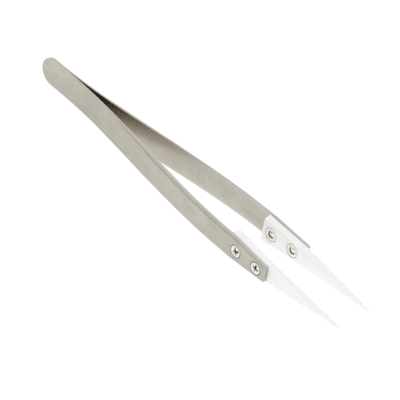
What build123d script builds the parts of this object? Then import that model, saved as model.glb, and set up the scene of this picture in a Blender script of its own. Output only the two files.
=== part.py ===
# Precision tweezers: two bowed spring-steel leaves, spot-welded at the rear. Each leaf
# carries a replaceable ceramic tip, held by two countersunk screws in threaded inserts.
#
# Frame, in millimetres: +X runs from the welded rear end to the tip points, the arms
# open along Y, and Z is the width of the leaves. The tweezers lie on their lower edges
# at Z = 0, and the origin is midway along the length. The left arm is on the +Y side,
# and the right arm is its mirror image. A station is a distance from the rear end.
from build123d import *
import math
import os

os.makedirs("parts", exist_ok=True)

# ---- Driving dimensions ----
OVERALL_LENGTH = 130.0
LEAF_LENGTH = 104.4
LEAF_WIDTH = 8.8
MID_Z = LEAF_WIDTH / 2

# The inner face of a leaf: flat in the weld, then bowed outwards, then a straight pad.
# An offset is a distance from the middle plane between the arms.
WELD_END = 8.0
BOW_STATION = 50.0            # the arms spread fastest here
BOW_OFFSET = 3.7
BOW_SLOPE = 0.135
PAD_START = 86.0
PAD_OFFSET = 7.05
PAD_SLOPE = 0.015

# Leaf thickness: ground thin at the rear, where the leaf bends
REAR_THICKNESS = 0.55
FRONT_THICKNESS = 1.3
THIN_END = 26.0               # the leaf starts to thicken here
FULL_THICKNESS_START = 54.0

# Leaf half-width
TAPER_START = 50.0
SHOULDER_STATION = 91.0       # the front taper starts here
SHOULDER_HALF_WIDTH = 3.85
FRONT_HALF_WIDTH = 2.5

# Bevels along the outer long edges, full size up to the start of the pad
REAR_BEVEL = 0.07
FULL_BEVEL = 0.75
FRONT_BEVEL = 0.33
BEVEL_START = 32.0
BEVEL_FULL_START = 56.0
BEVEL_FULL_END = PAD_START

# Ceramic tip
TIP_REAR = 89.5               # rear edge of the ceramic, on the leaf
TIP_REAR_SLANT = 0.4          # the rear face leans forwards by this much
TIP_REAR_THICKNESS = 2.7
TIP_ROOT_THICKNESS = 2.3      # where it leaves the leaf
TIP_REAR_HALF_WIDTH = 3.75
TIP_ROOT_HALF_WIDTH = 2.55
TIP_CROWN = 0.25              # outward bulge of the outer face between root and point
POINT_INNER_OFFSET = 5.32
POINT_THICKNESS = 0.55
POINT_HALF_WIDTH = 0.25

# Screws and inserts, on the pad's centre line
SCREW_STATIONS = (93.0, 101.0)
SCREW_HEAD_RADIUS = 2.0
SCREW_SHANK_RADIUS = 0.95
SCREW_BORE_RADIUS = 1.1       # clearance bore in leaf and ceramic
COUNTERSINK_RADIUS = 2.05
RECESS_WIDTH = 0.5            # cross recess
RECESS_LENGTH = 2.2
RECESS_DEPTH = 0.7
INSERT_FLANGE_RADIUS = 2.1
INSERT_FLANGE_HEIGHT = 0.8
INSERT_BARREL_RADIUS = 1.5
INSERT_BARREL_HEIGHT = 0.7
INSERT_BORE_RADIUS = 1.0
INSERT_RECESS = 0.1           # the insert sits this far below the ceramic's inner face

# Spot welds between the leaves
WELD_STATIONS = (3.0, 6.1)
WELD_RADIUS = 1.3
WELD_HALF_HEIGHT = 0.3
WELD_CLEARANCE = 0.03

SECTION_STEP = 4.0            # spacing of the leaf's cross-sections
PAD_ANGLE = math.atan(PAD_SLOPE)


def x_at(station):
    """X of a station, with the origin midway along the tweezers."""
    return station - OVERALL_LENGTH / 2


def ramp(station, start, end, first, last):
    """Straight change from first to last between two stations, level outside them."""
    share = min(max((station - start) / (end - start), 0.0), 1.0)
    return first + (last - first) * share


def curve(station, start, end, offsets, slopes):
    """Cubic curve between two stations, with an offset and a slope at each end."""
    span = end - start
    t = (station - start) / span
    rise = t * t * (3 - 2 * t)
    lead = t * (1 - t) ** 2 * span
    trail = t * t * (t - 1) * span
    return offsets[0] * (1 - rise) + offsets[1] * rise + slopes[0] * lead + slopes[1] * trail


def inner_offset(station):
    """Distance of a leaf's inner face from the middle plane."""
    if station <= WELD_END:
        return 0.0
    if station <= BOW_STATION:
        return curve(station, WELD_END, BOW_STATION, (0.0, BOW_OFFSET), (0.0, BOW_SLOPE))
    if station <= PAD_START:
        offsets = (BOW_OFFSET, PAD_OFFSET)
        return curve(station, BOW_STATION, PAD_START, offsets, (BOW_SLOPE, PAD_SLOPE))
    return PAD_OFFSET + PAD_SLOPE * (station - PAD_START)


def thickness(station):
    """Thickness of a leaf."""
    return ramp(station, THIN_END, FULL_THICKNESS_START, REAR_THICKNESS, FRONT_THICKNESS)


def half_width(station):
    """Half the width of a leaf, before its rear end is rounded."""
    if station <= SHOULDER_STATION:
        return ramp(station, TAPER_START, SHOULDER_STATION, MID_Z, SHOULDER_HALF_WIDTH)
    return ramp(station, SHOULDER_STATION, LEAF_LENGTH, SHOULDER_HALF_WIDTH, FRONT_HALF_WIDTH)


def bevel(station):
    """Size of the bevels along the outer long edges."""
    if station <= BEVEL_FULL_END:
        return ramp(station, BEVEL_START, BEVEL_FULL_START, REAR_BEVEL, FULL_BEVEL)
    return ramp(station, BEVEL_FULL_END, LEAF_LENGTH, FULL_BEVEL, FRONT_BEVEL)


def section_stations():
    """Stations of the leaf's cross-sections, with one at each change of shape."""
    breaks = [0.0, WELD_END, THIN_END, BEVEL_START, BOW_STATION, FULL_THICKNESS_START]
    breaks += [BEVEL_FULL_START, BEVEL_FULL_END, SHOULDER_STATION, LEAF_LENGTH]
    stations = [0.0]
    for start, end in zip(breaks, breaks[1:]):
        straight = end <= WELD_END or start >= PAD_START
        steps = 1 if straight else math.ceil((end - start) / SECTION_STEP)
        stations += [start + (end - start) * (i + 1) / steps for i in range(steps)]
    return stations


def pad_plane(station, height):
    """Plane on the screw line, at a height above the pad's inner face, facing outwards."""
    outwards = Vector(-math.sin(PAD_ANGLE), math.cos(PAD_ANGLE), 0)
    foot = Vector(x_at(station), inner_offset(station), MID_Z)
    return Plane(origin=foot + outwards * height, x_dir=(0, 0, 1), z_dir=outwards)


def ceramic_thickness(station):
    """Thickness of the ceramic where it lies on the leaf."""
    return ramp(station, TIP_REAR, LEAF_LENGTH, TIP_REAR_THICKNESS, TIP_ROOT_THICKNESS)


def insert_seat(station):
    """Height of an insert's face above the pad, which is negative: it is in the ceramic."""
    return INSERT_RECESS - ceramic_thickness(station)


def make_leaf():
    """One bowed leaf with bevelled outer edges, countersunk holes and weld pockets."""
    with BuildPart() as leaf:
        for station in section_stations():
            inner = inner_offset(station)
            outer = inner + thickness(station)
            side = half_width(station)
            edge = bevel(station)
            outline = [
                (inner, MID_Z - side),
                (outer - edge, MID_Z - side),
                (outer, MID_Z - side + edge),
                (outer, MID_Z + side - edge),
                (outer - edge, MID_Z + side),
                (inner, MID_Z + side),
            ]
            with BuildSketch(Plane.YZ.offset(x_at(station))):
                with BuildLine():
                    Polyline(*outline, close=True)
                make_face()
        loft(ruled=True)

        # Round the rear end to a half circle as wide as the leaf
        with BuildSketch(Plane.XZ) as rounded_end:
            with BuildLine():
                arc_x = x_at(MID_Z)
                front_x = x_at(LEAF_LENGTH)
                ThreePointArc((arc_x, 0), (x_at(0), MID_Z), (arc_x, LEAF_WIDTH))
                Polyline((arc_x, LEAF_WIDTH), (front_x, LEAF_WIDTH), (front_x, 0), (arc_x, 0))
            make_face()
        extrude(amount=-(PAD_OFFSET + 2 * FRONT_THICKNESS), mode=Mode.INTERSECT)

        outer_face = FRONT_THICKNESS * math.cos(PAD_ANGLE)
        with Locations(*[pad_plane(station, outer_face) for station in SCREW_STATIONS]):
            CounterSinkHole(
                radius=SCREW_BORE_RADIUS,
                counter_sink_radius=COUNTERSINK_RADIUS,
                depth=2 * FRONT_THICKNESS,
                counter_sink_angle=90,
            )

        pocket_depth = WELD_HALF_HEIGHT + WELD_CLEARANCE
        for station in WELD_STATIONS:
            with BuildSketch(Plane((x_at(station), 0, MID_Z), z_dir=(0, 1, 0))):
                Circle(WELD_RADIUS + WELD_CLEARANCE)
            extrude(amount=pocket_depth, mode=Mode.SUBTRACT)
    return leaf.part


def make_ceramic_tip():
    """Pointed ceramic tip with a flat seat on the leaf and stepped bores for the inserts."""
    point_x = x_at(OVERALL_LENGTH)
    root_x = x_at(LEAF_LENGTH)
    rear_x = x_at(TIP_REAR)
    seat_rear = inner_offset(TIP_REAR)
    seat_front = inner_offset(LEAF_LENGTH)
    point_outer = POINT_INNER_OFFSET + POINT_THICKNESS
    crown = ((root_x + point_x) / 2, (seat_front + point_outer) / 2 + TIP_CROWN)
    rounding = POINT_THICKNESS / 2

    with BuildPart() as tip:
        with BuildSketch(Plane.XY) as side_profile:
            with BuildLine():
                Line((rear_x, seat_rear), (root_x, seat_front))
                ThreePointArc((root_x, seat_front), crown, (point_x - rounding, point_outer))
                ThreePointArc(
                    (point_x - rounding, point_outer),
                    (point_x, point_outer - rounding),
                    (point_x - rounding, POINT_INNER_OFFSET),
                )
                Polyline(
                    (point_x - rounding, POINT_INNER_OFFSET),
                    (root_x, seat_front - TIP_ROOT_THICKNESS),
                    (rear_x + TIP_REAR_SLANT, seat_rear - TIP_REAR_THICKNESS),
                    (rear_x, seat_rear),
                )
            make_face()
        extrude(amount=LEAF_WIDTH)

        with BuildSketch(Plane.XZ) as width_outline:
            with BuildLine():
                Polyline(
                    (rear_x, MID_Z + TIP_REAR_HALF_WIDTH),
                    (root_x, MID_Z + TIP_ROOT_HALF_WIDTH),
                    (point_x, MID_Z + POINT_HALF_WIDTH),
                    (point_x, MID_Z - POINT_HALF_WIDTH),
                    (root_x, MID_Z - TIP_ROOT_HALF_WIDTH),
                    (rear_x, MID_Z - TIP_REAR_HALF_WIDTH),
                    close=True,
                )
            make_face()
        extrude(amount=-(PAD_OFFSET + FRONT_THICKNESS), mode=Mode.INTERSECT)

        for station in SCREW_STATIONS:
            seat = insert_seat(station)
            with Locations(pad_plane(station, 0)):
                Hole(radius=SCREW_BORE_RADIUS, depth=TIP_REAR_THICKNESS * 2)
            with Locations(pad_plane(station, seat + INSERT_FLANGE_HEIGHT)):
                Hole(radius=INSERT_FLANGE_RADIUS, depth=TIP_REAR_THICKNESS)
            with Locations(pad_plane(station, seat + INSERT_FLANGE_HEIGHT + INSERT_BARREL_HEIGHT)):
                Hole(radius=INSERT_BARREL_RADIUS, depth=TIP_REAR_THICKNESS)
    return tip.part


def make_screw(station):
    """Countersunk cross-recess screw, its head flush in the leaf's outer face."""
    head_top = FRONT_THICKNESS * math.cos(PAD_ANGLE) - (COUNTERSINK_RADIUS - SCREW_HEAD_RADIUS)
    head_height = SCREW_HEAD_RADIUS - SCREW_SHANK_RADIUS
    length = head_top - insert_seat(station)
    with BuildPart(pad_plane(station, head_top)) as screw:
        with Locations((0, 0, -head_height)):
            Cone(
                bottom_radius=SCREW_SHANK_RADIUS,
                top_radius=SCREW_HEAD_RADIUS,
                height=head_height,
                align=(Align.CENTER, Align.CENTER, Align.MIN),
            )
        Cylinder(
            radius=SCREW_SHANK_RADIUS,
            height=length,
            align=(Align.CENTER, Align.CENTER, Align.MAX),
        )
        for turn in (0, 90):
            Box(
                RECESS_LENGTH,
                RECESS_WIDTH,
                RECESS_DEPTH,
                rotation=(0, 0, turn),
                align=(Align.CENTER, Align.CENTER, Align.MAX),
                mode=Mode.SUBTRACT,
            )
    return screw.part


def make_insert(station):
    """Flanged threaded insert, its flange sunk in the ceramic's inner face."""
    with BuildPart(pad_plane(station, insert_seat(station))) as insert:
        Cylinder(
            radius=INSERT_FLANGE_RADIUS,
            height=INSERT_FLANGE_HEIGHT,
            align=(Align.CENTER, Align.CENTER, Align.MIN),
        )
        Cylinder(
            radius=INSERT_BARREL_RADIUS,
            height=INSERT_FLANGE_HEIGHT + INSERT_BARREL_HEIGHT,
            align=(Align.CENTER, Align.CENTER, Align.MIN),
        )
        Hole(radius=INSERT_BORE_RADIUS)
    return insert.part


def make_weld_nugget(station):
    """Spot-weld nugget: the disc of fused steel that joins the two leaves."""
    with BuildPart(Plane((x_at(station), 0, MID_Z), z_dir=(0, 1, 0))) as nugget:
        Cylinder(radius=WELD_RADIUS, height=2 * WELD_HALF_HEIGHT)
    return nugget.part


def save(piece, name):
    """Label a finished piece and write it as a STEP file."""
    piece.label = name
    export_step(piece, f"parts/{name}.step")


# ---- The two arms, each a leaf, a ceramic tip, two screws and two inserts ----
rear_station, front_station = SCREW_STATIONS
arm_pieces = {
    "leaf": make_leaf(),
    "ceramic_tip": make_ceramic_tip(),
    "rear_screw": make_screw(rear_station),
    "front_screw": make_screw(front_station),
    "rear_insert": make_insert(rear_station),
    "front_insert": make_insert(front_station),
}
for name, piece in arm_pieces.items():
    save(piece, f"left_{name}")
    save(mirror(piece, about=Plane.XZ), f"right_{name}")

# ---- The welds that hold the arms together ----
for name, station in zip(("rear_weld", "front_weld"), WELD_STATIONS):
    save(make_weld_nugget(station), name)
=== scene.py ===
import math

import bmesh
import bpy
from mathutils import Matrix, Vector


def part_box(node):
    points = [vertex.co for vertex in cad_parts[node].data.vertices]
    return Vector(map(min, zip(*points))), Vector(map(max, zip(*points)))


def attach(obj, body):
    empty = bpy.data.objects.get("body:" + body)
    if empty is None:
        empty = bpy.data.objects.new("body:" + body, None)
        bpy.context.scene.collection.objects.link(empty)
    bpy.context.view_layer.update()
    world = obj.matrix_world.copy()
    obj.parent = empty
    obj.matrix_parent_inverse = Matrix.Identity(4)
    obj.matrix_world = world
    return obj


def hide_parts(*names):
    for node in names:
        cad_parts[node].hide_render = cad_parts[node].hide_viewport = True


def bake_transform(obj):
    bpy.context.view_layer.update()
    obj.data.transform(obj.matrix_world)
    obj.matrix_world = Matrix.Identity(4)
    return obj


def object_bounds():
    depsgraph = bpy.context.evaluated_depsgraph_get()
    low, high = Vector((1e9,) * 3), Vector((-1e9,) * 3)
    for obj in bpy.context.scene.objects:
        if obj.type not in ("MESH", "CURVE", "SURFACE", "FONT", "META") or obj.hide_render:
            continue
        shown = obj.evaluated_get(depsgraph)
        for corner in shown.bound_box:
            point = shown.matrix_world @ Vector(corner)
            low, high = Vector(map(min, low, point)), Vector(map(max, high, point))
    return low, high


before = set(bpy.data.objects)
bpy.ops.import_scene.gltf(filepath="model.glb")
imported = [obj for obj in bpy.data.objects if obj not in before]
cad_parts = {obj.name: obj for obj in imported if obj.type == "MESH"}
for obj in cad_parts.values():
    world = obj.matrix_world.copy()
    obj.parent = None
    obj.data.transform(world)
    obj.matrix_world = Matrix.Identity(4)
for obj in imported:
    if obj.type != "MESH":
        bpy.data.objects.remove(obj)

MM = 0.001

# ---- Places and sizes from the frame ----
cad_low, cad_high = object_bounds()
leaf_low, leaf_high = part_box("left_leaf")
tip_low, tip_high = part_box("left_ceramic_tip")
REAR_X = cad_low.x
OVERALL_LENGTH = cad_high.x - cad_low.x
LEAF_LENGTH = leaf_high.x - leaf_low.x
LEAF_WIDTH = leaf_high.z - leaf_low.z
MID_Z = (leaf_high.z + leaf_low.z) / 2
TIP_REAR = tip_low.x - REAR_X
TIP_REAR_HALF_WIDTH = (tip_high.z - tip_low.z) / 2


def node_centre(node):
    """Middle of a CAD node's box."""
    low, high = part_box(node)
    return (low + high) / 2


SCREW_STATIONS = {
    which: node_centre(f"left_{which}_screw").x - REAR_X for which in ("rear", "front")
}

# ---- The leaf's own shape, as in the CAD model ----
WELD_END = 8 * MM
BOW_STATION = 50 * MM
BOW_OFFSET = 3.7 * MM
BOW_SLOPE = 0.135
PAD_START = 86 * MM
PAD_OFFSET = 7.05 * MM
PAD_SLOPE = 0.015
PAD_ANGLE = math.atan(PAD_SLOPE)
REAR_THICKNESS = 0.55 * MM
FRONT_THICKNESS = 1.3 * MM
THIN_END = 26 * MM
FULL_THICKNESS_START = 54 * MM
TAPER_START = 50 * MM
SHOULDER_STATION = 91 * MM
SHOULDER_HALF_WIDTH = 3.85 * MM
FRONT_HALF_WIDTH = 2.5 * MM
REAR_BEVEL = 0.10 * MM         # radius of the rounded outer long edges: the CAD has smaller,
FULL_BEVEL = 1.20 * MM         # flat bevels there, which take off less metal at the edge
FRONT_BEVEL = 0.65 * MM
BEVEL_START = 32 * MM
BEVEL_FULL_START = 56 * MM
BEVEL_FULL_END = PAD_START
END_BEVEL = 0.60 * MM          # softened edge across the leaf's front end
INNER_EDGE = 0.05 * MM         # small rounding of the inner edges

# ---- The ceramic tip's shape ----
TIP_REAR_SLANT = 0.4 * MM
TIP_REAR_THICKNESS = 2.7 * MM
TIP_ROOT_THICKNESS = 2.3 * MM
TIP_ROOT_HALF_WIDTH = 2.55 * MM
TIP_CROWN = 0.25 * MM
POINT_INNER_OFFSET = 5.32 * MM
POINT_THICKNESS = 0.55 * MM
POINT_HALF_WIDTH = 0.25 * MM
CERAMIC_EDGE_RADIUS = 0.22 * MM

# ---- Screws and inserts ----
HEAD_RADIUS = 2.0 * MM
SHANK_RADIUS = 0.95 * MM
BORE_RADIUS = 1.1 * MM
COUNTERSINK_RADIUS = 2.05 * MM
FLANGE_RADIUS = 2.1 * MM
FLANGE_HEIGHT = 0.8 * MM
BARREL_RADIUS = 1.5 * MM
BARREL_HEIGHT = 0.7 * MM
INSERT_BORE_RADIUS = 1.0 * MM
INSERT_RECESS = 0.1 * MM
INSERT_RIM = 0.09 * MM
INSERT_CHAMFER = 0.14 * MM
SLOT_REACH = 1.22 * MM         # from the screw's axis to the end of a cross slot
SLOT_HALF_WIDTH = 0.30 * MM
SLOT_DEPTH = 0.72 * MM
# Degrees that each screw's cross recess is turned by
SCREW_TURNS = {"left_rear": 12, "left_front": 50, "right_rear": 20, "right_front": -8}

THREAD_PITCH = 0.4 * MM
THREAD_DEPTH = 0.09 * MM

# ---- Welds ----
WELD_RADIUS = 1.33 * MM        # with its clearance
WELD_HALF_HEIGHT = 0.33 * MM
WELD_SEGMENTS = 48
WELD_NODES = ("rear_weld", "front_weld")

SIDES = {"left": 1, "right": -1}


# ======== The leaf's shape as formulas ========

def ramp(value, start, end, first, last):
    """Straight change from first to last as a value goes from start to end, level outside."""
    share = min(max((value - start) / (end - start), 0.0), 1.0)
    return first + (last - first) * share


def curve(station, start, end, offsets, slopes):
    """Cubic curve between two stations, with an offset and a slope at each end."""
    span = end - start
    t = (station - start) / span
    rise = t * t * (3 - 2 * t)
    lead = t * (1 - t) ** 2 * span
    trail = t * t * (t - 1) * span
    return offsets[0] * (1 - rise) + offsets[1] * rise + slopes[0] * lead + slopes[1] * trail


def bow(station):
    """Offset of a leaf's inner face from the middle plane."""
    if station <= WELD_END:
        return 0.0
    if station <= BOW_STATION:
        return curve(station, WELD_END, BOW_STATION, (0.0, BOW_OFFSET), (0.0, BOW_SLOPE))
    if station <= PAD_START:
        offsets = (BOW_OFFSET, PAD_OFFSET)
        return curve(station, BOW_STATION, PAD_START, offsets, (BOW_SLOPE, PAD_SLOPE))
    return PAD_OFFSET + PAD_SLOPE * (station - PAD_START)


def leaf_thickness(station):
    """Thickness of a leaf."""
    return ramp(station, THIN_END, FULL_THICKNESS_START, REAR_THICKNESS, FRONT_THICKNESS)


def leaf_half_width(station):
    """Half the width of a leaf, in front of its rounded rear end."""
    if station <= SHOULDER_STATION:
        return ramp(station, TAPER_START, SHOULDER_STATION, LEAF_WIDTH / 2, SHOULDER_HALF_WIDTH)
    return ramp(station, SHOULDER_STATION, LEAF_LENGTH, SHOULDER_HALF_WIDTH, FRONT_HALF_WIDTH)


def leaf_bevel(station):
    """Size of the rounded outer long edges."""
    if station <= BEVEL_FULL_END:
        return ramp(station, BEVEL_START, BEVEL_FULL_START, REAR_BEVEL, FULL_BEVEL)
    return ramp(station, BEVEL_FULL_END, LEAF_LENGTH, FULL_BEVEL, FRONT_BEVEL)


# ======== Mesh helpers ========

def new_object(name, points, faces):
    """A mesh object from points and faces, with its faces turned outwards."""
    mesh = bpy.data.meshes.new(name)
    mesh.from_pydata([tuple(p) for p in points], [], faces)
    shape = bmesh.new()
    shape.from_mesh(mesh)
    bmesh.ops.recalc_face_normals(shape, faces=shape.faces)
    shape.to_mesh(mesh)
    shape.free()
    obj = bpy.data.objects.new(name, mesh)
    bpy.context.scene.collection.objects.link(obj)
    return obj


def join_rings(count, first, second):
    """Quads between two rings of points that start at these indices."""
    return [
        (first + i, first + (i + 1) % count, second + (i + 1) % count, second + i)
        for i in range(count)
    ]


def ring_points(radii, height, place):
    """A ring of points round Z at a height, one for each radius of a list."""
    points = []
    for i, radius in enumerate(radii):
        angle = 2 * math.pi * i / len(radii)
        points.append(place @ Vector((radius * math.cos(angle), radius * math.sin(angle), height)))
    return points


def stack_rings(name, points, count):
    """A solid through rings of this many points each, with both ends capped."""
    total = len(points) // count
    faces = []
    for k in range(total - 1):
        faces += join_rings(count, k * count, (k + 1) * count)
    faces.append(tuple(range(count)))
    faces.append(tuple(range((total - 1) * count, total * count)))
    return new_object(name, points, faces)


def lathe(name, profile, place, segments=64):
    """A solid of revolution about Z from (radius, height) points, with both ends capped."""
    points = []
    for radius, height in profile:
        points += ring_points([radius] * segments, height, place)
    return stack_rings(name, points, segments)


def tube_lathe(name, outline, place, segments=64):
    """A ring-shaped solid of revolution about Z from a closed (radius, height) outline."""
    points = []
    faces = []
    for k, (radius, height) in enumerate(outline):
        points += ring_points([radius] * segments, height, place)
        faces += join_rings(segments, k * segments, (k + 1) % len(outline) * segments)
    return new_object(name, points, faces)


def cut(obj, cutter):
    """Subtract a cutter from obj and delete the cutter."""
    modifier = obj.modifiers.new("cut", "BOOLEAN")
    modifier.operation = "DIFFERENCE"
    modifier.solver = "EXACT"
    modifier.object = cutter
    evaluated = obj.evaluated_get(bpy.context.evaluated_depsgraph_get())
    result = bpy.data.meshes.new_from_object(evaluated)
    obj.modifiers.clear()
    old = obj.data
    obj.data = result
    bpy.data.meshes.remove(old)
    bpy.data.objects.remove(cutter)


def smooth(obj, sharp_degrees):
    """Smooth shading, with edges sharper than this angle kept crisp."""
    obj.data.polygons.foreach_set("use_smooth", [True] * len(obj.data.polygons))
    obj.data.set_sharp_from_angle(angle=math.radians(sharp_degrees))


def pad_place(station, height, side):
    """Matrix of a frame on the screw line, its Z pointing out of the leaf's outer face.

    The height is measured from the leaf's inner face, and side is 1 on the left arm.
    """
    outwards = Vector((-math.sin(PAD_ANGLE), side * math.cos(PAD_ANGLE), 0))
    across = Vector((0, 0, 1))
    along = outwards.cross(across)
    foot = Vector((REAR_X + station, side * bow(station), MID_Z)) + outwards * height
    turn = Matrix((across, along, outwards)).transposed()
    return Matrix.Translation(foot) @ turn.to_4x4()


def set_vectors(obj, name, vectors):
    """Store one vector per vertex under a name that materials read."""
    attribute = obj.data.attributes.new(name, "FLOAT_VECTOR", "POINT")
    attribute.data.foreach_set("vector", [c for v in vectors for c in v])


def set_values(obj, name, values):
    """Store one number per vertex under a name that materials read."""
    attribute = obj.data.attributes.new(name, "FLOAT", "POINT")
    attribute.data.foreach_set("value", values)


# ======== Leaves ========

REAR_ARC_STEPS = 20
LONG_STEPS = 120
INNER_EDGE_STEPS = 3
ROUNDING_STEPS = 8
EDGE_COLUMN = 0.03             # share of the half-width taken by the column beside each edge
HALF_COLUMNS = 5               # columns from there to the middle line

# Shares of the half-width at which a face has points, from its upper edge to its lower edge
INNER_COLUMNS = [(1 - EDGE_COLUMN) * (1 - i / HALF_COLUMNS) for i in range(2 * HALF_COLUMNS + 1)]
FACE_COLUMNS = [1.0, *INNER_COLUMNS, -1.0]

COUNTERSINK_LIP = 0.04 * MM
LEAF_SHARP_DEGREES = 32

# Where the leaves' steel changes its look
WORN_EDGE = 0.5 * MM           # brighter up to this far from the outline
PAINTED_SHEEN_START = 0.35            # share of the half-width where an inner face's painted highlight starts
PAINTED_SHEEN_POWER = 1.5
OUTER_SHADE_START = 18 * MM           # painted shade on the outer faces is darkest from here to the end of the thin part, and then clears over this distance
OUTER_SHADE_FADE = 24 * MM            # part, and then clear over this distance
TINT_FULL = 24 * MM            # the inner faces are straw-coloured up to here, and clear from here
TINT_END = 62 * MM             # heat, and clear from here


def rim_steps():
    """Steps round a leaf's edge from the inner face to the outer face.

    Each is (inner pull, bevel pull, inner rise, thickness rise, bevel rise). The pulls are
    how far the outline is drawn in, and the rises how high it lies, as shares of the inner
    edge's rounding, the leaf's thickness and the outer bevel.
    """
    steps = []
    for i in range(INNER_EDGE_STEPS + 1):
        angle = math.pi / 2 * i / INNER_EDGE_STEPS
        steps.append((1 - math.sin(angle), 0.0, 1 - math.cos(angle), 0.0, 0.0))
    for i in range(ROUNDING_STEPS + 1):
        angle = math.pi / 2 * i / ROUNDING_STEPS
        steps.append((0.0, 1 - math.cos(angle), 0.0, 1.0, math.sin(angle) - 1))
    return steps


def leaf_rows():
    """Rows across the leaf: ("arc", angle) round the rear end, then ("edge", station)."""
    rows = [("arc", math.pi / 2 * i / REAR_ARC_STEPS) for i in range(1, REAR_ARC_STEPS)]
    rear = LEAF_WIDTH / 2
    last = LEAF_LENGTH - max(FRONT_BEVEL, END_BEVEL)
    rows += [("edge", rear + (last - rear) * i / LONG_STEPS) for i in range(LONG_STEPS + 1)]
    return rows


def row_place(row, pull):
    """Station and half-width of a row on the outline, pulled in by a distance."""
    kind, value = row
    if kind == "arc":
        radius = LEAF_WIDTH / 2 - pull
        return LEAF_WIDTH / 2 - radius * math.cos(value), radius * math.sin(value)
    return value, leaf_half_width(value) - pull


def leaf_point(station, across, height, side):
    """Point of the bent leaf, from its place on the flat blank."""
    return Vector((REAR_X + station, side * (bow(station) + height), MID_Z + across))


def rim_pull(step, station):
    """How far a step of the rim lies inside the leaf's outline."""
    return step[0] * INNER_EDGE + step[1] * leaf_bevel(station)


def rim_height(step, station):
    """How far a step of the rim lies above the leaf's inner face."""
    bevel_height = step[4] * leaf_bevel(station)
    return step[2] * INNER_EDGE + step[3] * leaf_thickness(station) + bevel_height


def add_rim_ring(points, rows, step, side):
    """Add one ring of points round the leaf, and return their indices.

    Each point is first (station, across, the station whose thickness and bevel apply).
    """
    upper = []
    for row in rows:
        near = row[1] if row[0] == "edge" else 0.0
        upper.append((*row_place(row, rim_pull(step, near)), near))
    end_pull = step[0] * INNER_EDGE + step[1] * END_BEVEL
    end_half = leaf_half_width(LEAF_LENGTH) - rim_pull(step, LEAF_LENGTH)
    ring = [(rim_pull(step, 0.0), 0.0, 0.0)]
    ring += upper
    ring += [(LEAF_LENGTH - end_pull, end_half * share, LEAF_LENGTH) for share in FACE_COLUMNS]
    ring += [(station, -half, near) for station, half, near in reversed(upper)]

    first = len(points)
    for station, across, near in ring:
        points.append(leaf_point(station, across, rim_height(step, near), side))
    return list(range(first, len(points)))


def add_face_grid(points, rows, ring, height_of, side):
    """Add a grid of points inside a ring, and return the faces that close the ring."""
    grid = []
    for i in range(len(rows)):
        edge_point = points[ring[1 + i]]
        station = edge_point.x - REAR_X
        half = edge_point.z - MID_Z
        line = [ring[1 + i]]
        for share in INNER_COLUMNS:
            line.append(len(points))
            points.append(leaf_point(station, half * share, height_of(station), side))
        line.append(ring[-1 - i])
        grid.append(line)
    end = 1 + len(rows)
    grid.append(ring[end:end + len(FACE_COLUMNS)])

    faces = [(ring[0], one, two) for one, two in zip(grid[0], grid[0][1:])]
    for line, after in zip(grid, grid[1:]):
        for j in range(len(line) - 1):
            faces.append((line[j], after[j], after[j + 1], line[j + 1]))
    return faces


def cut_leaf_holes(leaf, side):
    """Cut the countersunk screw holes and the pockets for the welds."""
    outer_face = FRONT_THICKNESS * math.cos(PAD_ANGLE)
    lip = COUNTERSINK_LIP
    deep = 2 * FRONT_THICKNESS
    hole = [
        (BORE_RADIUS, -deep),
        (BORE_RADIUS, BORE_RADIUS - COUNTERSINK_RADIUS),
        (COUNTERSINK_RADIUS - lip, -lip),
        (COUNTERSINK_RADIUS + lip, lip),
        (COUNTERSINK_RADIUS + lip, deep),
    ]
    for station in SCREW_STATIONS.values():
        cut(leaf, lathe("cutter", hole, pad_place(station, outer_face, side)))
    pocket = [(WELD_RADIUS, -WELD_HALF_HEIGHT), (WELD_RADIUS, WELD_HALF_HEIGHT)]
    for node in WELD_NODES:
        upright = Matrix.Translation(node_centre(node)) @ Matrix.Rotation(math.pi / 2, 4, "X")
        cut(leaf, lathe("cutter", pocket, upright, WELD_SEGMENTS))


def make_leaf(name, side):
    """One leaf: a flat blank with rounded edges, bent to the bow, with its holes cut."""
    rows = leaf_rows()
    points = []
    faces = []
    rings = [add_rim_ring(points, rows, step, side) for step in rim_steps()]
    for first, second in zip(rings, rings[1:]):
        faces += join_rings(len(first), first[0], second[0])
    faces += add_face_grid(points, rows, rings[0], lambda station: 0.0, side)
    faces += add_face_grid(points, rows, rings[-1], leaf_thickness, side)
    leaf = new_object(name, points, faces)
    cut_leaf_holes(leaf, side)
    smooth(leaf, LEAF_SHARP_DEGREES)
    mark_leaf(leaf, side)
    return leaf


def outline_margin(station, across):
    """Distance of a place on the blank from its outline."""
    rear = LEAF_WIDTH / 2
    if station < rear:
        return rear - math.hypot(rear - station, across)
    return min(leaf_half_width(station) - abs(across), LEAF_LENGTH - station)


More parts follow.
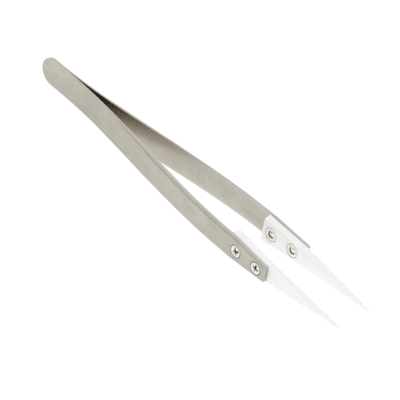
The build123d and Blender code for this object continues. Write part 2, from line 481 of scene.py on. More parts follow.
def mark_leaf(leaf, side):
    """Store each vertex's place on the flat blank, and how strongly each change of look acts.

    Edges are worn bright. The inner faces get painted highlights towards their long edges and a
    warmer tint towards the rear. The outer faces get a little painted shade in the thin part.
    """
    places = []
    worn = []
    painted_sheen = []
    outer_shading = []
    warmth = []
    for vertex in leaf.data.vertices:
        station = vertex.co.x - REAR_X
        across = vertex.co.z - MID_Z
        height = side * vertex.co.y - bow(station)
        inside = height < leaf_thickness(station) / 2
        outwards = abs(across) / leaf_half_width(station)
        # Painted shade on the outer faces, strongest in the thin part
        rise = ramp(station, WELD_END, OUTER_SHADE_START, 0.0, 1.0)
        fall = ramp(station, THIN_END, THIN_END + OUTER_SHADE_FADE, 0.0, 1.0)
        places.append((station, across, height))
        worn.append(ramp(outline_margin(station, across), 0.0, WORN_EDGE, 1.0, 0.0))
        # Painted highlight on the inner faces, lighter towards their long edges
        shine = ramp(outwards, PAINTED_SHEEN_START, 1.0, 0.0, 1.0) ** PAINTED_SHEEN_POWER
        tint = ramp(station, TINT_FULL, TINT_END, 1.0, 0.0)
        painted_sheen.append(shine if inside else 0.0)
        outer_shading.append(0.0 if inside else rise - fall)
        warmth.append(tint if inside else 0.0)
    set_vectors(leaf, "blank", places)
    set_values(leaf, "edge", worn)
    set_values(leaf, "painted_sheen", painted_sheen)
    set_values(leaf, "painted_outer_shade", outer_shading)
    set_values(leaf, "warm_tint", warmth)


# ======== Ceramic tips ========

CORNER_STEPS = 5
END_STEPS = 5
BODY_STEPS = 56
SEAT_GAP = 0.004 * MM          # keeps the ceramic just off the leaf
MOST_SHRINK = 0.97             # share of a section that its rounded end may take off
NOSE_ROUNDING = 0.96           # share of the nose's radius that rounds the point
MOST_CORNER = 0.49             # share of a section's smaller side that a corner may take
TIP_BORE_LIP = 0.05 * MM
TIP_BORE_PLAY = 0.02 * MM
TIP_SHARP_DEGREES = 40


def ceramic_section(station):
    """Inner offset, outer offset, half-width and corner radius of the ceramic at a station."""
    root = LEAF_LENGTH
    share = ramp(station, root, OVERALL_LENGTH, 0.0, 1.0)
    root_outer = bow(root) - SEAT_GAP
    root_inner = bow(root) - TIP_ROOT_THICKNESS
    point_outer = POINT_INNER_OFFSET + POINT_THICKNESS
    if station <= root:
        outer = bow(station) - SEAT_GAP
        thick = ramp(station, TIP_REAR, root, TIP_REAR_THICKNESS, TIP_ROOT_THICKNESS)
        inner = bow(station) - thick
        half = ramp(station, TIP_REAR, root, TIP_REAR_HALF_WIDTH, TIP_ROOT_HALF_WIDTH)
    else:
        crown = 4 * TIP_CROWN * share * (1 - share)
        outer = root_outer + (point_outer - root_outer) * share + crown
        inner = root_inner + (POINT_INNER_OFFSET - root_inner) * share
        half = TIP_ROOT_HALF_WIDTH + (POINT_HALF_WIDTH - TIP_ROOT_HALF_WIDTH) * share
    radius = min(CERAMIC_EDGE_RADIUS, MOST_CORNER * min(2 * half, outer - inner))
    return inner, outer, half, radius


def rounded_rectangle(inner, outer, half, radius):
    """Points (offset, across) round a section, starting on the outer side."""
    corners = (
        (outer - radius, half - radius, 0.0),
        (inner + radius, half - radius, math.pi / 2),
        (inner + radius, -half + radius, math.pi),
        (outer - radius, -half + radius, 3 * math.pi / 2),
    )
    outline = []
    for offset, across, start in corners:
        for i in range(CORNER_STEPS + 1):
            angle = start + math.pi / 2 * i / CORNER_STEPS
            outline.append((offset + radius * math.cos(angle), across + radius * math.sin(angle)))
    return outline


def ceramic_steps():
    """(station, pull) of each section: pull shrinks it towards its middle at the ends."""
    radius = CERAMIC_EDGE_RADIUS
    steps = []
    for i in range(END_STEPS):
        angle = math.pi / 2 * i / END_STEPS
        steps.append((TIP_REAR + radius * (1 - math.cos(angle)), radius * (1 - math.sin(angle))))
    body_start = TIP_REAR + radius
    nose = POINT_THICKNESS / 2
    body_end = OVERALL_LENGTH - nose
    for i in range(BODY_STEPS + 1):
        steps.append((body_start + (body_end - body_start) * i / BODY_STEPS, 0.0))
    for i in range(1, END_STEPS + 1):
        angle = math.pi / 2 * i / END_STEPS
        pull = nose * (1 - math.cos(angle)) * NOSE_ROUNDING
        steps.append((body_end + nose * math.sin(angle), pull))
    return steps


def cut_tip_bores(tip, side):
    """Cut a stepped bore for each insert, with its mouth slightly opened out."""
    lip = TIP_BORE_LIP
    flange_bore = FLANGE_RADIUS + TIP_BORE_PLAY
    barrel_bore = BARREL_RADIUS + TIP_BORE_PLAY
    for station in SCREW_STATIONS.values():
        seat = insert_seat(station)
        flange_top = seat + FLANGE_HEIGHT
        barrel_top = flange_top + BARREL_HEIGHT
        face = seat - INSERT_RECESS
        bore = [
            (flange_bore + 3 * lip, face - TIP_REAR_THICKNESS),
            (flange_bore + 3 * lip, face - 2 * lip),
            (flange_bore, face + lip),
            (flange_bore, flange_top),
            (barrel_bore, flange_top),
            (barrel_bore, barrel_top),
            (BORE_RADIUS, barrel_top),
            (BORE_RADIUS, FRONT_THICKNESS),
        ]
        cut(tip, lathe("cutter", bore, pad_place(station, 0.0, side)))


def make_ceramic_tip(name, side):
    """One ceramic tip: rounded-rectangle sections that narrow to a fine blunt point."""
    points = []
    for station, pull in ceramic_steps():
        inner, outer, half, radius = ceramic_section(station)
        middle = (inner + outer) / 2
        depth = (outer - inner) / 2
        shrink_depth = (depth - min(pull, depth * MOST_SHRINK)) / depth
        shrink_half = (half - min(pull, half * MOST_SHRINK)) / half
        for offset, across in rounded_rectangle(inner, outer, half, radius):
            offset = middle + (offset - middle) * shrink_depth
            slant = TIP_REAR_SLANT * (outer - offset) / (outer - inner)
            fade = ramp(station, TIP_REAR, LEAF_LENGTH, 1.0, 0.0)
            x = REAR_X + station + slant * fade
            points.append(Vector((x, side * offset, MID_Z + across * shrink_half)))
    tip = stack_rings(name, points, 4 * (CORNER_STEPS + 1))
    cut_tip_bores(tip, side)
    smooth(tip, TIP_SHARP_DEGREES)
    return tip


# ======== Screws and inserts ========

SCREW_SEGMENTS = 48
THREAD_STEPS_PER_TURN = 8
METAL_SHARP_DEGREES = 30
SHANK_DOME = 0.16 * MM
SHANK_END_RECESS = 0.12 * MM   # the shank ends this far inside the insert's face
THREAD_RUNOUT = 0.02 * MM
HEAD_NECK = 0.1 * MM
HEAD_ROUNDING = 0.07 * MM

# (radius, height above the shank's end) of the domed end's rings
SHANK_END_RINGS = (
    (0.25 * MM, 0.0),
    (0.55 * MM, 0.03 * MM),
    (0.74 * MM, SHANK_DOME),
)

# Painted shade round a screw head's rim: full outside the first radius, none inside the second
HEAD_SHADE_RADIUS = HEAD_RADIUS - 0.20 * MM
HEAD_UNSHADED_RADIUS = HEAD_RADIUS - 0.38 * MM

# (radius, height from the top) of the head's rings: a rounded edge and a slight crown
HEAD_RINGS = (
    (HEAD_RADIUS - HEAD_ROUNDING, -HEAD_ROUNDING * 1.4),
    (HEAD_RADIUS - 0.3 * HEAD_ROUNDING, -HEAD_ROUNDING * 0.7),
    (HEAD_RADIUS - 0.4 * HEAD_ROUNDING, -HEAD_ROUNDING * 0.2),
    (HEAD_RADIUS - 1.4 * HEAD_ROUNDING, 0.0),
    (HEAD_SHADE_RADIUS, 0.003 * MM),
    (HEAD_UNSHADED_RADIUS, 0.006 * MM),
    (0.5 * HEAD_RADIUS, 0.02 * MM),
    (0.2 * HEAD_RADIUS, 0.025 * MM),
)

# (height, share of the reach, share of the half-width) of the cross recess, top to bottom
SLOT_LEVELS = (
    (0.3 * MM, 1.28, 1.25),
    (0.0, 1.0, 1.0),
    (-0.7 * SLOT_DEPTH, 0.52, 0.72),
    (-SLOT_DEPTH, 0.2, 0.2),
)

# Where painted shade changes in the recess and on an insert, and how strong it is there
SLOT_SHADE_DEPTHS = (0.03 * MM, 0.30 * MM)
RIM_SHADE_RADII = (FLANGE_RADIUS - 0.28 * MM, FLANGE_RADIUS - 0.09 * MM)
BORE_SHADE_RADII = (INSERT_BORE_RADIUS + 0.05 * MM, INSERT_BORE_RADIUS + 0.15 * MM)
RIM_SHADE = 0.5
BORE_SHADE = 0.8
RIM_SHADE_RING = 0.29 * MM     # from an insert's edge to the ring of unshaded points inside it
BORE_SHADE_RING = 0.18 * MM    # from an insert's bore to the ring of unshaded points round it


def insert_seat(station):
    """Height of an insert's face above the leaf's inner face: it is in the ceramic."""
    thick = ramp(station, TIP_REAR, LEAF_LENGTH, TIP_REAR_THICKNESS, TIP_ROOT_THICKNESS)
    return INSERT_RECESS - thick


def cross_cutter(place, turn):
    """Tapered cross that cuts a screw's driver recess."""
    spin = Matrix.Rotation(math.radians(turn), 4, "Z")
    points = []
    for height, reach_share, half_share in SLOT_LEVELS:
        r = SLOT_REACH * reach_share
        a = SLOT_HALF_WIDTH * half_share
        cross = [(r, a), (a, a), (a, r), (-a, r), (-a, a), (-r, a)]
        cross += [(-x, -y) for x, y in cross]
        points += [place @ spin @ Vector((x, y, height)) for x, y in cross]
    return stack_rings("cutter", points, len(cross))


def thread_radii(height):
    """Radius all round a thread at a height, one for each segment of the screw."""
    radii = []
    for i in range(SCREW_SEGMENTS):
        phase = (height / THREAD_PITCH - i / SCREW_SEGMENTS) % 1.0
        radii.append(SHANK_RADIUS - 2 * THREAD_DEPTH * min(phase, 1 - phase))
    return radii


def make_screw(name, station, side, turn):
    """Countersunk cross-recess screw with a threaded shank and a domed end."""
    outer_face = FRONT_THICKNESS * math.cos(PAD_ANGLE)
    head_top = outer_face - (COUNTERSINK_RADIUS - HEAD_RADIUS)
    head_base = SHANK_RADIUS - HEAD_RADIUS
    place = pad_place(station, head_top, side)
    end = insert_seat(station) + SHANK_END_RECESS - head_top

    points = []
    for radius, rise in SHANK_END_RINGS:
        points += ring_points([radius] * SCREW_SEGMENTS, end + rise, place)
    thread_start = end + SHANK_DOME + THREAD_RUNOUT
    thread_end = head_base - HEAD_NECK
    count = int((thread_end - thread_start) / THREAD_PITCH * THREAD_STEPS_PER_TURN)
    for i in range(count + 1):
        height = thread_start + (thread_end - thread_start) * i / count
        points += ring_points(thread_radii(height), height, place)
    points += ring_points([SHANK_RADIUS] * SCREW_SEGMENTS, head_base, place)
    for radius, height in HEAD_RINGS:
        points += ring_points([radius] * SCREW_SEGMENTS, height, place)
    screw = stack_rings(name, points, SCREW_SEGMENTS)
    cut(screw, cross_cutter(place, turn))

    # Painted shade: dark round the head's rim and down in the cross recess
    painted_gap_shade = []
    for vertex in screw.data.vertices:
        x, y, z = place.inverted() @ vertex.co
        rim = ramp(math.hypot(x, y), HEAD_UNSHADED_RADIUS, HEAD_SHADE_RADIUS, 0.0, 1.0)
        recess = ramp(-z, *SLOT_SHADE_DEPTHS, 0.0, 1.0) if z > head_base else 0.0
        painted_gap_shade.append(max(rim, recess))
    set_values(screw, "painted_gap_shade", painted_gap_shade)
    smooth(screw, METAL_SHARP_DEGREES)
    return screw


def insert_outline():
    """Closed (radius, height) outline of an insert, with a grooved bore."""
    rim = INSERT_RIM
    top = FLANGE_HEIGHT + BARREL_HEIGHT
    outline = [
        (INSERT_BORE_RADIUS + BORE_SHADE_RING, 0.0),
        (FLANGE_RADIUS - RIM_SHADE_RING, 0.0),
        (FLANGE_RADIUS - rim, 0.0),
        (FLANGE_RADIUS - 0.3 * rim, 0.3 * rim),
        (FLANGE_RADIUS, rim),
        (FLANGE_RADIUS, FLANGE_HEIGHT),
        (BARREL_RADIUS, FLANGE_HEIGHT),
        (BARREL_RADIUS, top - rim),
        (BARREL_RADIUS - rim, top),
        (INSERT_BORE_RADIUS + rim, top),
        (INSERT_BORE_RADIUS, top - rim),
    ]
    grooves = int((top - INSERT_CHAMFER - 2 * rim) / THREAD_PITCH)
    for i in range(grooves):
        height = top - rim - THREAD_PITCH * (i + 0.5)
        outline.append((INSERT_BORE_RADIUS + THREAD_DEPTH, height))
        outline.append((INSERT_BORE_RADIUS, height - THREAD_PITCH / 2))
    outline.append((INSERT_BORE_RADIUS, INSERT_CHAMFER))
    outline.append((INSERT_BORE_RADIUS + INSERT_CHAMFER, 0.0))
    return outline


def make_insert(name, station, side):
    """Flanged threaded insert with a rounded rim and a chamfered bore."""
    place = pad_place(station, insert_seat(station), side)
    insert = tube_lathe(name, insert_outline(), place)
    # Painted shade: dark round the flange's rim and round the bore
    painted_gap_shade = []
    for vertex in insert.data.vertices:
        x, y, _ = place.inverted() @ vertex.co
        rim = ramp(math.hypot(x, y), *RIM_SHADE_RADII, 0.0, RIM_SHADE)
        bore = ramp(math.hypot(x, y), *BORE_SHADE_RADII, BORE_SHADE, 0.0)
        painted_gap_shade.append(max(rim, bore))
    set_values(insert, "painted_gap_shade", painted_gap_shade)
    smooth(insert, METAL_SHARP_DEGREES)
    return insert


# ======== Materials ========

# Colours, as linear light
STEEL_WARM = (0.545, 0.516, 0.442)
STEEL_COOL = (0.525, 0.506, 0.458)
STEEL_DARK = (0.330, 0.310, 0.262)
STEEL_BRIGHT = (0.640, 0.620, 0.575)
STEEL_TINTED = (0.590, 0.535, 0.445)
SCREW_STEEL = (0.860, 0.840, 0.800)
SCREW_DARK = (0.420, 0.390, 0.330)
INSERT_STEEL = (0.820, 0.790, 0.720)
INSERT_DARK = (0.520, 0.480, 0.400)
# Nearly black, painted as shade in the gaps round screw heads and inserts and in the recesses
GAP_SHADE_COLOUR = (0.060, 0.050, 0.040)
CERAMIC_WHITE = (0.930, 0.925, 0.915)
CERAMIC_COOL = (0.915, 0.920, 0.925)
CERAMIC_SHADE = (0.870, 0.868, 0.862)
FLOOR_LIGHT = (0.200, 0.200, 0.200)
FLOOR_SHADE = (0.190, 0.190, 0.190)

# Noise densities in features per metre
BLOTCHES = 420.0
WARM_PATCHES = 160.0
CLOUDS = 48.0
MOTTLE = 420.0
TOOL_MARKS = 9000.0
STAINS = 900.0
WELD_LUMPS = 3000.0
FLOOR_FIBRES = 60.0

# The same, lengthwise and then in the other two directions
GRAIN_STRETCH = (900.0, 6000.0, 6000.0)
SCRATCH_STRETCH = (400.0, 2400.0, 2400.0)
GROUND_STRETCH = (900.0, 5200.0, 5200.0)
EVEN = (1.0, 1.0, 1.0)
LONG_BLOTCHES = (0.6, 1.0, 1.0)
WIDE_CLOUDS = (0.7, 0.7, 0.7)
LONG_MARKS = (1.0, 1.0, 0.3)
NOISE_ROUGHNESS = 0.55
SOFT_DETAIL = 2.0
DETAIL = 3.0
FINE_DETAIL = 4.0

# Ranges of a noise that a change of look runs over
WIDE = (0.3, 0.7)
NARROW = (0.35, 0.65)
PEAKS = (0.45, 0.75)
STAIN_PEAKS = (0.4, 0.75)
GROUND_PEAKS = (0.5, 0.8)

# How strongly each change of look acts on the leaves' steel
BLOTCH_SHADE = 0.30
CLOUD_SHADE = 0.20
# Painted shade on the outer faces' thin part
OUTER_SHADE_SHARE = 0.22
# Painted highlight towards the inner faces' long edges
PAINTED_SHEEN_SHARE = 0.55
TINT_SHARE = 0.80
GRAIN_SHARE = 0.14
EDGE_START = 0.55              # wear below this doesn't show
EDGE_SHARE = 0.25
EDGE_GLOSS = 0.05              # the worn edges are this much less rough
LEAF_ROUGHNESS = (0.25, 0.33)
LEAF_BUMP = 0.006 * MM
LEAF_BUMP_STRENGTH = 0.6

# The other surfaces: each roughness is the least and the most
CERAMIC_ROUGHNESS = (0.32, 0.44)
CERAMIC_IOR = 1.6
CERAMIC_SCATTER = 0.25
CERAMIC_SCATTER_DEPTH = 0.4 * MM
CERAMIC_SCATTER_TINT = (1.0, 0.9, 0.8)
GROUND_SHARE = 0.25            # of the ceramic's shade colour, in its grinding marks
SCREW_ROUGHNESS = (0.19, 0.30)
INSERT_ROUGHNESS = (0.25, 0.36)
STAIN_SHARE = 0.6
# How far the painted shade in gaps and recesses goes towards its colour
GAP_SHADE_STRENGTH = 0.85
FINE_BUMP = 0.004 * MM         # on the ceramic, the screws and the inserts
FINE_BUMP_STRENGTH = 0.5
WELD_ROUGHNESS = (0.5, 0.65)
WELD_BUMP = 0.02 * MM
WELD_BUMP_STRENGTH = 0.6
FLOOR_ROUGHNESS = 0.9
FLOOR_GLOW = 0.92


# The colour sockets of Blender's Mix node have the same names as its other sockets
MIX_FACTOR = 0
MIX_FIRST = 6
MIX_SECOND = 7
MIX_RESULT = 2


class Nodes:
    """Short calls for building one material's node tree.

    A source is a (node, output) pair, as the calls give it.
    """

    def __init__(self, name):
        self.material = bpy.data.materials.new(name)
        self.material.use_nodes = True
        self.tree = self.material.node_tree
        self.tree.nodes.clear()
        self.output = self.tree.nodes.new("ShaderNodeOutputMaterial")
        self.shader = self.tree.nodes.new("ShaderNodeBsdfPrincipled")
        self.link(self.shader, "BSDF", self.output, "Surface")

    def link(self, source, output, target, socket):
        """Join a node's output to another node's input."""
        self.tree.links.new(source.outputs[output], target.inputs[socket])

    def place(self, attribute=None):
        """Where a texture is read: a stored vector, or the object's own coordinates."""
        if attribute:
            node = self.tree.nodes.new("ShaderNodeAttribute")
            node.attribute_name = attribute
            return node, "Vector"
        return self.tree.nodes.new("ShaderNodeTexCoord"), "Object"

    def noise(self, place, scale, stretch, detail):
        """Noise read at a stretched place. The scale is in features per metre."""
        mapping = self.tree.nodes.new("ShaderNodeMapping")
        mapping.inputs["Scale"].default_value = stretch
        self.link(*place, mapping, "Vector")
        node = self.tree.nodes.new("ShaderNodeTexNoise")
        node.inputs["Scale"].default_value = scale
        node.inputs["Detail"].default_value = detail
        node.inputs["Roughness"].default_value = NOISE_ROUGHNESS
        self.link(mapping, "Vector", node, "Vector")
        return node, "Fac"

    def value(self, name):
        """A number stored per vertex."""
        node = self.tree.nodes.new("ShaderNodeAttribute")
        node.attribute_name = name
        return node, "Fac"

    def spread(self, source, low, high, first, last):
        """Change a factor's range low..high into first..last."""
        node = self.tree.nodes.new("ShaderNodeMapRange")
        node.inputs["From Min"].default_value = low
        node.inputs["From Max"].default_value = high
        node.inputs["To Min"].default_value = first
        node.inputs["To Max"].default_value = last
        self.link(*source, node, "Value")
        return node, "Result"

    def math(self, operation, one, two):
        """One operation on two sources, or on a source and a number."""
        node = self.tree.nodes.new("ShaderNodeMath")
        node.operation = operation
        self.link(*one, node, 0)
        if isinstance(two, tuple):
            self.link(*two, node, 1)
        else:
            node.inputs[1].default_value = two
        return node, "Value"

    def blend(self, factor, first, second):
        """Mix two colours, each a colour or a source, by a factor."""
        node = self.tree.nodes.new("ShaderNodeMix")
        node.data_type = "RGBA"
        self.link(*factor, node, MIX_FACTOR)
        for socket, colour in ((MIX_FIRST, first), (MIX_SECOND, second)):
            if isinstance(colour[0], float):
                node.inputs[socket].default_value = (*colour, 1.0)
            else:
                self.link(*colour, node, socket)
        return node, MIX_RESULT

    def paint(self, socket, source):
        """Feed a source into one of the shader's sockets."""
        self.link(*source, self.shader, socket)

    def bump(self, height, distance, strength):
        """Raise the surface by a height source. The distance is in metres."""
        node = self.tree.nodes.new("ShaderNodeBump")
        node.inputs["Distance"].default_value = distance
        node.inputs["Strength"].default_value = strength
        self.link(*height, node, "Height")
        self.link(node, "Normal", self.shader, "Normal")


def brushed_leaf_steel():
    """Satin stainless steel: lengthwise grain, soft blotches, painted highlight and shade, a warm
    tint and worn edges.
    """
    n = Nodes("brushed_leaf_steel")
    blank = n.place("blank")
    grain = n.noise(blank, 1.0, GRAIN_STRETCH, FINE_DETAIL)
    scratches = n.noise(blank, 1.0, SCRATCH_STRETCH, DETAIL)
    blotches = n.noise(blank, BLOTCHES, LONG_BLOTCHES, FINE_DETAIL)
    warm = n.noise(blank, WARM_PATCHES, EVEN, SOFT_DETAIL)
    tint = n.blend(n.spread(warm, *NARROW, 0.0, 1.0), STEEL_WARM, STEEL_COOL)
    clouds = n.noise(blank, CLOUDS, WIDE_CLOUDS, SOFT_DETAIL)
    blotch_shade = n.spread(blotches, *WIDE, 0.0, BLOTCH_SHADE)
    cloud_shade = n.spread(clouds, *NARROW, 0.0, CLOUD_SHADE)
    shade = n.math("ADD", blotch_shade, cloud_shade)
    # Painted shade on the outer faces' thin part
    shade = n.math("ADD", shade, n.spread(n.value("painted_outer_shade"), 0.0, 1.0, 0.0, OUTER_SHADE_SHARE))
    body = n.blend(shade, tint, STEEL_DARK)
    # Painted highlight towards the inner faces' long edges
    painted_sheen = n.spread(n.value("painted_sheen"), 0.0, 1.0, 0.0, PAINTED_SHEEN_SHARE)
    body = n.blend(painted_sheen, body, STEEL_BRIGHT)
    warmth = n.spread(n.value("warm_tint"), 0.0, 1.0, 0.0, TINT_SHARE)
    body = n.blend(warmth, body, STEEL_TINTED)
    streaked = n.blend(n.spread(grain, *PEAKS, 0.0, GRAIN_SHARE), body, STEEL_DARK)
    edge = n.spread(n.value("edge"), EDGE_START, 1.0, 0.0, EDGE_SHARE)
    n.paint("Base Color", n.blend(edge, streaked, STEEL_BRIGHT))
    rough = n.spread(scratches, *WIDE, *LEAF_ROUGHNESS)
    gloss = n.spread(edge, 0.0, EDGE_SHARE, 0.0, EDGE_GLOSS)
    n.paint("Roughness", n.math("SUBTRACT", rough, gloss))
    n.shader.inputs["Metallic"].default_value = 1.0
    n.bump(n.math("ADD", grain, scratches), LEAF_BUMP, LEAF_BUMP_STRENGTH)
    return n.material


def white_ceramic():
    """Matt white zirconia with faint mottling and a fine ground surface."""
    n = Nodes("white_ceramic")
    place = n.place()
    mottle = n.noise(place, MOTTLE, EVEN, FINE_DETAIL)
    ground = n.noise(place, 1.0, GROUND_STRETCH, DETAIL)
    cast = n.blend(n.spread(mottle, *NARROW, 0.0, 1.0), CERAMIC_WHITE, CERAMIC_COOL)
    marks = n.spread(ground, *GROUND_PEAKS, 0.0, GROUND_SHARE)
    n.paint("Base Color", n.blend(marks, cast, CERAMIC_SHADE))
    n.paint("Roughness", n.spread(mottle, *WIDE, *CERAMIC_ROUGHNESS))
    n.shader.inputs["IOR"].default_value = CERAMIC_IOR
    n.shader.inputs["Subsurface Weight"].default_value = CERAMIC_SCATTER
    n.shader.inputs["Subsurface Radius"].default_value = CERAMIC_SCATTER_TINT
    n.shader.inputs["Subsurface Scale"].default_value = CERAMIC_SCATTER_DEPTH
    n.bump(ground, FINE_BUMP, FINE_BUMP_STRENGTH)
    return n.material


def turned_steel(name, colour, dark, roughness):
    """Bright turned stainless steel with fine tool marks, a little staining, and painted shade in
    gaps and recesses.
    """
    n = Nodes(name)
    place = n.place()
    marks = n.noise(place, TOOL_MARKS, LONG_MARKS, DETAIL)
    stain = n.noise(place, STAINS, EVEN, DETAIL)
    # Painted shade, stored per vertex, darkens the gaps and recesses
    painted_gap_shade = n.value("painted_gap_shade")
    stained = n.blend(n.spread(stain, *STAIN_PEAKS, 0.0, STAIN_SHARE), colour, dark)
    n.paint("Base Color", n.blend(n.math("MULTIPLY", painted_gap_shade, GAP_SHADE_STRENGTH), stained, GAP_SHADE_COLOUR))
    n.paint("Roughness", n.spread(marks, *WIDE, *roughness))
    n.shader.inputs["Metallic"].default_value = 1.0
    n.bump(marks, FINE_BUMP, FINE_BUMP_STRENGTH)
    return n.material


def weld_steel():
    """Dull, cast-looking steel of the fused spots between the leaves."""
    n = Nodes("weld_steel")
    place = n.place()
    lumps = n.noise(place, WELD_LUMPS, EVEN, DETAIL)
    n.paint("Base Color", n.blend(n.spread(lumps, *NARROW, 0.0, 1.0), STEEL_DARK, STEEL_WARM))
    n.paint("Roughness", n.spread(lumps, *WIDE, *WELD_ROUGHNESS))
    n.shader.inputs["Metallic"].default_value = 1.0
    n.bump(lumps, WELD_BUMP, WELD_BUMP_STRENGTH)
    return n.material


def floor_material():
    """Plain, nearly white studio table."""
    n = Nodes("floor")
    place = n.place()
    fibres = n.noise(place, FLOOR_FIBRES, EVEN, DETAIL)
    n.paint("Base Color", n.blend(fibres, FLOOR_LIGHT, FLOOR_SHADE))
    n.shader.inputs["Roughness"].default_value = FLOOR_ROUGHNESS
    n.shader.inputs["Specular IOR Level"].default_value = 0.0
    n.shader.inputs["Emission Color"].default_value = (1.0, 1.0, 1.0, 1.0)
    n.shader.inputs["Emission Strength"].default_value = FLOOR_GLOW
    return n.material


# ======== Build the object ========

def dress(obj, material, slot, body, *nodes):
    """Give a piece its material, and let it stand for its CAD nodes on a body. The slot is not
    used.
    """
    obj.data.materials.clear()
    obj.data.materials.append(material)
    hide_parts(*nodes)
    if body:                   # a leaf is not put on a body
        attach(obj, body)


leaf_steel = brushed_leaf_steel()
ceramic = white_ceramic()
screw_steel = turned_steel("screw_steel", SCREW_STEEL, SCREW_DARK, SCREW_ROUGHNESS)
insert_steel = turned_steel("insert_steel", INSERT_STEEL, INSERT_DARK, INSERT_ROUGHNESS)
fused_steel = weld_steel()

for side_name, side in SIDES.items():
    body = f"{side_name}_arm"
    leaf = make_leaf(f"{side_name}_leaf_bowed", side)
    dress(leaf, leaf_steel, "leaf_steel", None, f"{side_name}_leaf")
    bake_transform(leaf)
    tip = make_ceramic_tip(f"{side_name}_ceramic_point", side)
    dress(tip, ceramic, "ceramic", body, f"{side_name}_ceramic_tip")
    for which, station in SCREW_STATIONS.items():
        key = f"{side_name}_{which}"
        screw = make_screw(f"{key}_cross_screw", station, side, SCREW_TURNS[key])
        dress(screw, screw_steel, "screw_steel", body, f"{key}_screw")
        insert = make_insert(f"{key}_threaded_insert", station, side)
        dress(insert, insert_steel, "insert_steel", body, f"{key}_insert")

for node in WELD_NODES:
    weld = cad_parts[node]
    weld.data.materials.clear()
    weld.data.materials.append(fused_steel)


# ======== Studio ========

FLOOR_HALF_SIZE = 3.0
FLOOR_HEIGHT = -0.02 * MM      # just under the tweezers' lower edges
FLOOR_STEPS = 24

# The surroundings' brightness, and where it changes. Heights are sines of the elevation,
# and the backdrop's limits are cosines of the angle from straight behind the tweezers.
HORIZON_LIGHT = (0.40, 0.40, 0.40)
WALL_LIGHT = (1.0, 1.0, 1.0)
OVERHEAD_LIGHT = (0.86, 0.86, 0.87)
BACKDROP_LIGHT = (0.95, 0.95, 0.95)
HORIZON_TOP = 0.10
WALL_HEIGHT = 0.30
BACKDROP_START = -0.1
BACKDROP_FULL = 0.3
WORLD_STRENGTH = 1.0

KEY_AZIMUTH = 60
KEY_ELEVATION = 55
KEY_DISTANCE = 1.0
KEY_SIZE = 0.9
KEY_POWER = 0.6

CAMERA_AZIMUTH = 41.9
CAMERA_ELEVATION = 38.4
CAMERA_ROLL = 10.4
CAMERA_LENS = 187.7            # focal length in millimetres
CAMERA_SENSOR = 36.0
CAMERA_DISTANCE = 569 * MM
CAMERA_CLIP = 10 * MM
CAMERA_AIM_X = 6.6 * MM
CAMERA_AIM_Y = -2.1 * MM


def make_floor():
    """Large, flat, pale table."""
    points = []
    faces = []
    for i in range(FLOOR_STEPS + 1):
        for j in range(FLOOR_STEPS + 1):
            x = FLOOR_HALF_SIZE * (2 * i / FLOOR_STEPS - 1)
            y = FLOOR_HALF_SIZE * (2 * j / FLOOR_STEPS - 1)
            points.append(Vector((x, y, FLOOR_HEIGHT)))
    for i in range(FLOOR_STEPS):
        for j in range(FLOOR_STEPS):
            corner = i * (FLOOR_STEPS + 1) + j
            above = corner + FLOOR_STEPS + 1
            faces.append((corner, corner + 1, above + 1, above))
    floor = new_object("floor", points, faces)
    floor.data.materials.append(floor_material())


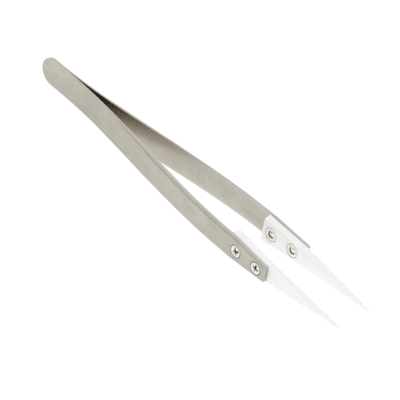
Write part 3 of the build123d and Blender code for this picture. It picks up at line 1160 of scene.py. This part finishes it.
def make_world():
    """Soft white surroundings, dim low down on the camera's side and bright behind."""
    world = bpy.data.worlds.new("studio")
    bpy.context.scene.world = world
    world.use_nodes = True
    tree = world.node_tree
    tree.nodes.clear()
    output = tree.nodes.new("ShaderNodeOutputWorld")
    background = tree.nodes.new("ShaderNodeBackground")
    background.inputs["Strength"].default_value = WORLD_STRENGTH
    coordinates = tree.nodes.new("ShaderNodeTexCoord")
    split = tree.nodes.new("ShaderNodeSeparateXYZ")
    heights = tree.nodes.new("ShaderNodeValToRGB")
    stops = heights.color_ramp.elements
    stops[0].position = 0.0
    stops[0].color = (*HORIZON_LIGHT, 1.0)
    stops[1].position = 1.0
    stops[1].color = (*OVERHEAD_LIGHT, 1.0)
    for position, colour in ((HORIZON_TOP, HORIZON_LIGHT), (WALL_HEIGHT, WALL_LIGHT)):
        stop = stops.new(position)
        stop.color = (*colour, 1.0)
    behind = tree.nodes.new("ShaderNodeVectorMath")
    behind.operation = "DOT_PRODUCT"
    azimuth = math.radians(CAMERA_AZIMUTH)
    behind.inputs[1].default_value = (-math.sin(azimuth), math.cos(azimuth), 0.0)
    side = tree.nodes.new("ShaderNodeMapRange")
    side.inputs["From Min"].default_value = BACKDROP_START
    side.inputs["From Max"].default_value = BACKDROP_FULL
    both = tree.nodes.new("ShaderNodeMix")
    both.data_type = "RGBA"
    both.inputs[MIX_SECOND].default_value = (*BACKDROP_LIGHT, 1.0)
    tree.links.new(coordinates.outputs["Generated"], split.inputs["Vector"])
    tree.links.new(split.outputs["Z"], heights.inputs["Fac"])
    tree.links.new(coordinates.outputs["Generated"], behind.inputs[0])
    tree.links.new(behind.outputs["Value"], side.inputs["Value"])
    tree.links.new(side.outputs["Result"], both.inputs[MIX_FACTOR])
    tree.links.new(heights.outputs["Color"], both.inputs[MIX_FIRST])
    tree.links.new(both.outputs[MIX_RESULT], background.inputs["Color"])
    tree.links.new(background.outputs["Background"], output.inputs["Surface"])


def direction(azimuth, elevation):
    """Unit vector from the tweezers towards a direction in degrees."""
    a = math.radians(azimuth)
    e = math.radians(elevation)
    return Vector((math.sin(a) * math.cos(e), -math.cos(a) * math.cos(e), math.sin(e)))


def make_light():
    """Square soft box that faces the tweezers from above and to one side."""
    centre = (cad_low + cad_high) / 2
    back = direction(KEY_AZIMUTH, KEY_ELEVATION)
    data = bpy.data.lights.new("key_softbox", "AREA")
    data.shape = "SQUARE"
    data.size = KEY_SIZE
    data.energy = KEY_POWER
    light = bpy.data.objects.new("key_softbox", data)
    light.location = centre + back * KEY_DISTANCE
    light.rotation_mode = "QUATERNION"
    light.rotation_quaternion = (-back).to_track_quat("-Z", "Y")
    bpy.context.scene.collection.objects.link(light)


def make_camera():
    """Long-lens camera above and in front of the tips, turned a little about its axis."""
    back = direction(CAMERA_AZIMUTH, CAMERA_ELEVATION)
    data = bpy.data.cameras.new("camera")
    data.lens = CAMERA_LENS
    data.sensor_width = CAMERA_SENSOR
    data.clip_start = CAMERA_CLIP
    camera = bpy.data.objects.new("camera", data)
    aim = Vector((CAMERA_AIM_X, CAMERA_AIM_Y, MID_Z))
    camera.location = aim + back * CAMERA_DISTANCE
    camera.rotation_mode = "QUATERNION"
    look = (-back).to_track_quat("-Z", "Y")
    roll = Matrix.Rotation(math.radians(CAMERA_ROLL), 3, "Z").to_quaternion()
    camera.rotation_quaternion = look @ roll
    bpy.context.scene.collection.objects.link(camera)
    bpy.context.scene.camera = camera


make_floor()
make_world()
make_light()
make_camera()
bpy.context.scene.view_settings.view_transform = "Standard"
